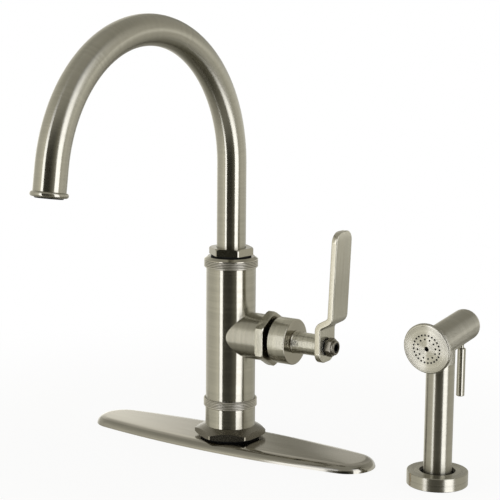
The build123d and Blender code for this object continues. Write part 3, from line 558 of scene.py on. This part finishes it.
nut_flats, nut_turn, nut_bore, nut_top, nut_chamfer = 32.1, 21.2, 12.175, 164.8, 1.3
nut_corner = nut_flats / sqrt(3)
nut_blank = lathe([
    (nut_bore, 154.2), (15.0, 154.2), (15.0, nut_foot), (18.1, nut_foot), (nut_corner, 159.3),
    (nut_corner, nut_top - nut_chamfer), (nut_corner - nut_chamfer, nut_top), (nut_bore, nut_top)])
spout_nut = hexagon(nut_blank, nut_corner, middle=159.5, depth=12, turn=nut_turn)
fit(spout_nut, "spout_nut_hexagon", "faucet", "nickel", polished_nickel, "spout_nut")

# ---------------------------------------------------------------- spout tip
aerator_bore, lip_proud = 8.6, 0.9
aerator = lathe([
    (aerator_bore, -10.0), (10.4, -10.0), (10.4, 0.1), (10.2, 0.6), (9.7, lip_proud),
    (aerator_bore, lip_proud)], spout_tip, tail_dir, sides=96)
fit(break_edges(aerator, 0), "aerator_housing_short", "spout", "nickel", blackened_steel,
    "aerator_housing")

# ---------------------------------------------------------------- valve and lever
bonnet = break_edges(copy_of("bonnet_nut"), 0.35)
fit(bonnet, "bonnet_nut_finished", "faucet", "nickel", valve_lit_nickel, "bonnet_nut")
# Its end face only.
second_finish(bonnet, deep_nickel, lambda face: face.normal.x > 0.9)

cap = break_edges(copy_of("handle_cap"), 0)
fit(cap, "handle_cap_finished", "handle", "nickel", valve_lit_nickel, "handle_cap")
# Its end face and the chamfer round it.
second_finish(cap, polished_nickel, lambda face: face.normal.x > 0.6)

# A bead and fine grooves where the stem leaves the cap; heights are distances from the column.
collar_start, stem_bore, stem_face, bead_end = 61.8, 4.7, 8.78, 63.0
stem_collar = lathe([
    (stem_bore, collar_start), (8.9, collar_start), (9.15, 62.0), (9.15, 62.7), (8.8, 63.1),
    *grooves(stem_face, 64.4, pitch=1.2, width=0.6, depth=0.12),
    (stem_face, 68.8), (8.66, 69.0), (8.655, 64.0), (7.6, 62.9), (stem_bore, 62.9)],
    valve_centre, valve_dir, sides=96)
fit(break_edges(stem_collar, 0), "stem_collar", "handle", "nickel", valve_lit_nickel, "stem_ring")
# Its bead is bright: painted highlight.
second_finish(stem_collar, highlight_nickel, lambda face: face.center.x < bead_end * mm)

lever = break_edges(copy_of("lever"), 0)
fit(lever, "lever_finished", "handle", "nickel", lever_lit_nickel, "lever")
# Its narrow sides, all more than 8 mm from the middle plane, are bright: painted highlight.
second_finish(lever, highlight_nickel,
              lambda face: abs(face.normal.y) > 0.45 and abs(face.center.y) > 8 * mm)

lever_nut = break_edges(copy_of("lever_nut"), 0.3)
# Its darker colour is painted shade.
fit(lever_nut, "lever_nut_finished", "handle", "nickel", base_shade_nickel, "lever_nut")

# ---------------------------------------------------------------- spray face
head = break_edges(copy_of("wand_head"), 0)
fit(head, "wand_head_finished", "wand", "nickel", head_nickel, "wand_head")
second_finish(head, spray_nickel, lambda face: face.normal.dot(spray_dir) > 0.9)

# Soft nozzles fill the two rings of holes, so that lime can be rubbed off them. In mm; the front
# of the face is measured from the middle of the head, and the tubes start a little behind it.
face_front, nozzle_sunk = 23.5, 0.2
nozzle_radius, nozzle_proud, nozzle_wall, nozzle_bore_depth = 0.72, 0.16, 0.3, 0.5
head_turn = spray_dir.to_track_quat("Z", "Y").to_matrix().to_4x4()
face_side = Vector((cos(wand_turn), sin(wand_turn), 0))
face_upright = spray_dir.cross(face_side)


def nozzle(radius, angle):
    """One short soft tube in its hole, drawn from a disc, inset and pushed in for its bore."""
    outward = face_side * cos(angle) + face_upright * sin(angle)
    middle = head_centre + outward * radius * mm + spray_dir * (face_front - nozzle_sunk) * mm
    bpy.ops.object.select_all(action="DESELECT")
    bpy.ops.mesh.primitive_circle_add(vertices=12, radius=nozzle_radius * mm, fill_type="NGON")
    tube = bpy.context.object
    bpy.ops.object.mode_set(mode="EDIT")
    bpy.ops.mesh.select_all(action="SELECT")
    bpy.ops.mesh.extrude_region_move(TRANSFORM_OT_translate={"value": (0, 0, nozzle_proud * mm)})
    bpy.ops.mesh.inset(thickness=nozzle_wall * mm)
    bpy.ops.mesh.extrude_region_move(
        TRANSFORM_OT_translate={"value": (0, 0, -nozzle_bore_depth * mm)})
    bpy.ops.object.mode_set(mode="OBJECT")
    tube.matrix_world = Matrix.Translation(middle) @ head_turn
    bpy.ops.object.transform_apply()
    return tube


# Each ring of holes: radius in mm, first angle in degrees, and count.
nozzles = [nozzle(radius, radians(start + 360 / count * k))
           for radius, start, count in ((7.6, 8, 12), (10.9, 4, 24)) for k in range(count)]
bpy.ops.object.select_all(action="DESELECT")
for tube in nozzles:
    tube.select_set(True)
bpy.context.view_layer.objects.active = nozzles[0]
bpy.ops.object.join()
fit(break_edges(nozzles[0], 0), "spray_nozzles", "wand", "black_rubber", silicone_and_gap_shade)

# The dark seat at the bottom of the centre hole.
valve_seat = lathe([
    (0.5, 18.6), (1.88, 18.6), (1.88, 22.6), (1.5, 22.6), (1.3, 19.2), (0.5, 19.0)],
    head_centre, spray_dir, sides=24)
fit(break_edges(valve_seat, 0), "spray_centre_seat", "wand", "black_rubber", silicone_and_gap_shade)

# ---------------------------------------------------------------- floor
bpy.ops.object.select_all(action="DESELECT")
bpy.ops.mesh.primitive_plane_add(size=8.0)
floor = bpy.context.object
floor.name = "floor"
# Matt white board: it takes a soft shadow near the faucet and fades to plain white between 15 and
# 50 cm from the column.
floor_paint, tree, output = new_material("matt_white_floor")
place = add(tree, "ShaderNodeTexCoord").outputs["Object"]
reach = add(tree, "ShaderNodeVectorMath", {0: place}, operation="LENGTH").outputs["Value"]
fade_start, fade_end = 0.15, 0.5
plain_share_near = 0.9
fade = add(tree, "ShaderNodeMapRange", {
    0: reach, 1: fade_start, 2: fade_end, 3: plain_share_near, 4: 1.0},
    interpolation_type="SMOOTHSTEP").outputs[0]
seen = add(tree, "ShaderNodeLightPath").outputs["Is Camera Ray"]
glow_share = add(tree, "ShaderNodeMath", {0: fade, 1: seen}, operation="MULTIPLY").outputs[0]
matt = add(tree, "ShaderNodeBsdfDiffuse", {"Color": linear("#F4F4F2")}).outputs[0]
glow = add(tree, "ShaderNodeEmission", {"Color": (1, 1, 1, 1), "Strength": 1.0}).outputs[0]
mixed = add(tree, "ShaderNodeMixShader", {0: glow_share, 1: matt, 2: glow}).outputs[0]
tree.links.new(mixed, output.inputs[0])
floor.data.materials.append(floor_paint)
# Metal near the deck mirrors the studio, not the floor, as it does on a small stand.
floor.visible_glossy = False
floor.visible_shadow = False

# ---------------------------------------------------------------- studio
# Directions are azimuths in degrees from the side that faces the user, positive towards the lever.
panel_white, panel_top_level = (0.97, 0.98, 1.06, 1), 0.4


def cast(level):
    """The colour of a wall at a brightness: the dim end of the room is warmer."""
    warmth = 0.3 + 0.7 * max(0.0, 1 - level / 0.5)
    return level * 1.01, level * (1 - 0.035 * warmth), level * (1 - 0.3 * warmth), 1


def softbox(name, azimuth, distance, width, bottom, top, fade_from, level):
    """A tall lit panel that faces the column: a cool white cloth, even up to a height and dimmer
    from there to its top."""
    bpy.ops.object.select_all(action="DESELECT")
    bpy.ops.mesh.primitive_plane_add(size=1.0)
    panel = bpy.context.object
    panel.name = name
    outward = Vector((sin(radians(azimuth)), -cos(radians(azimuth)), 0))
    side = outward.cross(up)
    centre = outward * distance + up * (bottom + top) / 2
    panel.data.transform(Matrix((
        (side.x * width, 0, -outward.x, centre.x),
        (side.y * width, 0, -outward.y, centre.y),
        (0, top - bottom, 0, centre.z),
        (0, 0, 0, 1))))
    light, tree, output = new_material(name + "_cloth")
    height = add(tree, "ShaderNodeSeparateXYZ", {
        0: add(tree, "ShaderNodeTexCoord").outputs["Object"]}).outputs[2]
    strength = add(tree, "ShaderNodeMapRange", {
        0: height, 1: fade_from, 2: top, 3: level, 4: panel_top_level},
        interpolation_type="SMOOTHSTEP").outputs[0]
    glow = add(tree, "ShaderNodeEmission", {
        "Color": panel_white, "Strength": strength}).outputs[0]
    tree.links.new(glow, output.inputs[0])
    panel.data.materials.append(light)
    panel.visible_camera = False
    panel.visible_diffuse = False
    panel.visible_shadow = False


softbox("left_softbox", azimuth=-11.9, distance=1.2, width=0.285, bottom=-0.62, top=1.35,
        fade_from=0.55, level=3.3)
softbox("right_softbox", azimuth=74.2, distance=1.0, width=0.52, bottom=-0.75, top=1.6,
        fade_from=0.4, level=3.3)

# Brightness of the walls round the studio: (azimuth, level).
studio = (
    (-180.0, 0.72), (-166.0, 0.5), (-157.0, 0.42), (-154.0, 0.7), (-152.2, 0.86), (-150.4, 0.4),
    (-148.8, 0.36), (-146.5, 0.8), (-142.0, 1.3), (-126.0, 1.0), (-90.0, 0.88), (-60.0, 0.95),
    (-38.0, 1.12), (-27.0, 1.4), (-22.5, 1.0), (-17.0, 1.2), (-9.0, 0.26), (-4.0, 0.08),
    (10.0, 0.035), (26.0, 0.02), (36.0, 0.05), (44.0, 0.12), (53.0, 0.2), (62.0, 0.4),
    (88.0, 0.7), (100.0, 0.82), (125.0, 0.82), (150.0, 0.74), (180.0, 0.72),
)
# Brightness from the floor beyond the stand up to the ceiling: (elevation, level).
shell_levels = (
    (-90.0, 0.07), (-66.0, 0.11), (-50.0, 0.42), (-20.0, 0.56), (0.0, 0.75),
    (16.0, 0.58), (40.0, 0.68), (58.0, 0.56), (90.0, 0.6),
)
# Elevations in degrees between which the floor gives way to the walls, and these to the ceiling.
band_floor, band_bottom, band_top, band_ceiling = -40.0, -18.0, 20.0, 46.0

world = bpy.data.worlds.new("studio")
bpy.context.scene.world = world
world.use_nodes = True
tree = world.node_tree
tree.nodes.clear()
view = add(tree, "ShaderNodeTexCoord").outputs["Generated"]
parts = add(tree, "ShaderNodeSeparateXYZ", {0: view})
toward = add(tree, "ShaderNodeMath", {
    0: parts.outputs[1], 1: -1.0}, operation="MULTIPLY").outputs[0]
azimuth = add(tree, "ShaderNodeMath", {
    0: parts.outputs[0], 1: toward}, operation="ARCTAN2").outputs[0]
turn = add(tree, "ShaderNodeMapRange", {0: azimuth, 1: -pi, 2: pi, 3: 0.0, 4: 1.0}).outputs[0]
rise = add(tree, "ShaderNodeMath", {0: parts.outputs[2]}, operation="ARCSINE").outputs[0]
climb = add(tree, "ShaderNodeMapRange", {
    0: rise, 1: -pi / 2, 2: pi / 2, 3: 0.0, 4: 1.0}).outputs[0]


def ramp(factor, stops, span, start):
    """A colour ramp through (degrees, brightness) stops."""
    made = add(tree, "ShaderNodeValToRGB", {0: factor})
    elements = made.color_ramp.elements
    while len(elements) > 1:
        elements.remove(elements[-1])
    for index, (angle, level) in enumerate(stops):
        spot = (angle - start) / span
        stop = elements[0] if index == 0 else elements.new(spot)
        stop.position = spot
        stop.color = cast(level)
    return made.outputs[0]


bands = ramp(turn, studio, 360.0, -180.0)
shell = ramp(climb, shell_levels, 180.0, -90.0)
above = add(tree, "ShaderNodeMapRange", {
    0: rise, 1: radians(band_floor), 2: radians(band_bottom)},
    interpolation_type="SMOOTHSTEP").outputs[0]
share = add(tree, "ShaderNodeMapRange", {
    0: rise, 1: radians(band_top), 2: radians(band_ceiling), 3: above, 4: 0.0},
    interpolation_type="SMOOTHSTEP").outputs[0]
room = add(tree, "ShaderNodeMix", {0: share, 6: shell, 7: bands}, data_type="RGBA").outputs[2]
# Behind the faucet the wall is brightest in a low band along the table's far edge: its lift
# turns into a slight drop between two elevations in degrees.
edge_full, edge_gone, edge_lift, edge_drop = 3.0, 13.0, 0.42, -0.08
behind = add(tree, "ShaderNodeMapRange", {
    0: parts.outputs[1], 1: 0.1, 2: 0.5, 3: 0.0, 4: 1.0}).outputs[0]
height = add(tree, "ShaderNodeMath", {0: rise}, operation="ABSOLUTE").outputs[0]
low = add(tree, "ShaderNodeMapRange", {
    0: height, 1: radians(edge_full), 2: radians(edge_gone), 3: edge_lift, 4: edge_drop},
    interpolation_type="SMOOTHSTEP").outputs[0]
edge_glow = add(tree, "ShaderNodeMath", {0: behind, 1: low}, operation="MULTIPLY").outputs[0]
lifted = add(tree, "ShaderNodeVectorMath", {0: room, 1: edge_glow}, operation="ADD").outputs[0]
# The camera sees plain white; the faucet is lit by the room and mirrors it.
room_light = add(tree, "ShaderNodeBackground", {0: lifted, 1: 1.0}).outputs[0]
backdrop = add(tree, "ShaderNodeBackground", {0: (1, 1, 1, 1), 1: 1.0}).outputs[0]
camera_ray = add(tree, "ShaderNodeLightPath").outputs["Is Camera Ray"]
shown = add(tree, "ShaderNodeMixShader", {0: camera_ray, 1: room_light, 2: backdrop}).outputs[0]
tree.links.new(shown, add(tree, "ShaderNodeOutputWorld").inputs[0])

# A wide soft lamp overhead fills the shadows; metal doesn't mirror it.
bpy.ops.object.light_add(type="AREA", location=(0.1, -0.3, 2.2))
overhead = bpy.context.object
overhead.name = "overhead_softbox"
overhead.data.shape = "DISK"
overhead.data.size = 1.6
overhead.data.energy = 6.0
overhead.visible_glossy = False

# ---------------------------------------------------------------- camera
# Solved from the outlines of the plate, column, arch, valve and holder in the photograph.
view_turn, view_rise, view_roll = radians(32.401), radians(9.698), radians(0.482)
view_distance = 1233.63 * mm
aim_right, aim_height = 15.26, 162.222
view_right = Vector((cos(view_turn), sin(view_turn), 0))
view_back = Vector((
    sin(view_turn) * cos(view_rise), -cos(view_turn) * cos(view_rise), sin(view_rise)))
view_up = view_back.cross(view_right)
aim = view_right * aim_right * mm + up * aim_height * mm
eye = aim + view_back * view_distance
right = view_right * cos(view_roll) + view_up * sin(view_roll)
upright = view_up * cos(view_roll) - view_right * sin(view_roll)
focal_pixels, frame_pixels, sensor = 1518.09, 500, 36.0

camera_data = bpy.data.cameras.new("camera")
camera_data.sensor_width = sensor
camera_data.lens = focal_pixels / frame_pixels * sensor
camera_data.clip_end = 50
camera = bpy.data.objects.new("camera", camera_data)
bpy.context.scene.collection.objects.link(camera)
camera.matrix_world = Matrix((
    (right.x, upright.x, view_back.x, eye.x),
    (right.y, upright.y, view_back.y, eye.y),
    (right.z, upright.z, view_back.z, eye.z),
    (0, 0, 0, 1),
))
bpy.context.scene.camera = camera
bpy.context.scene.view_settings.view_transform = "Standard"
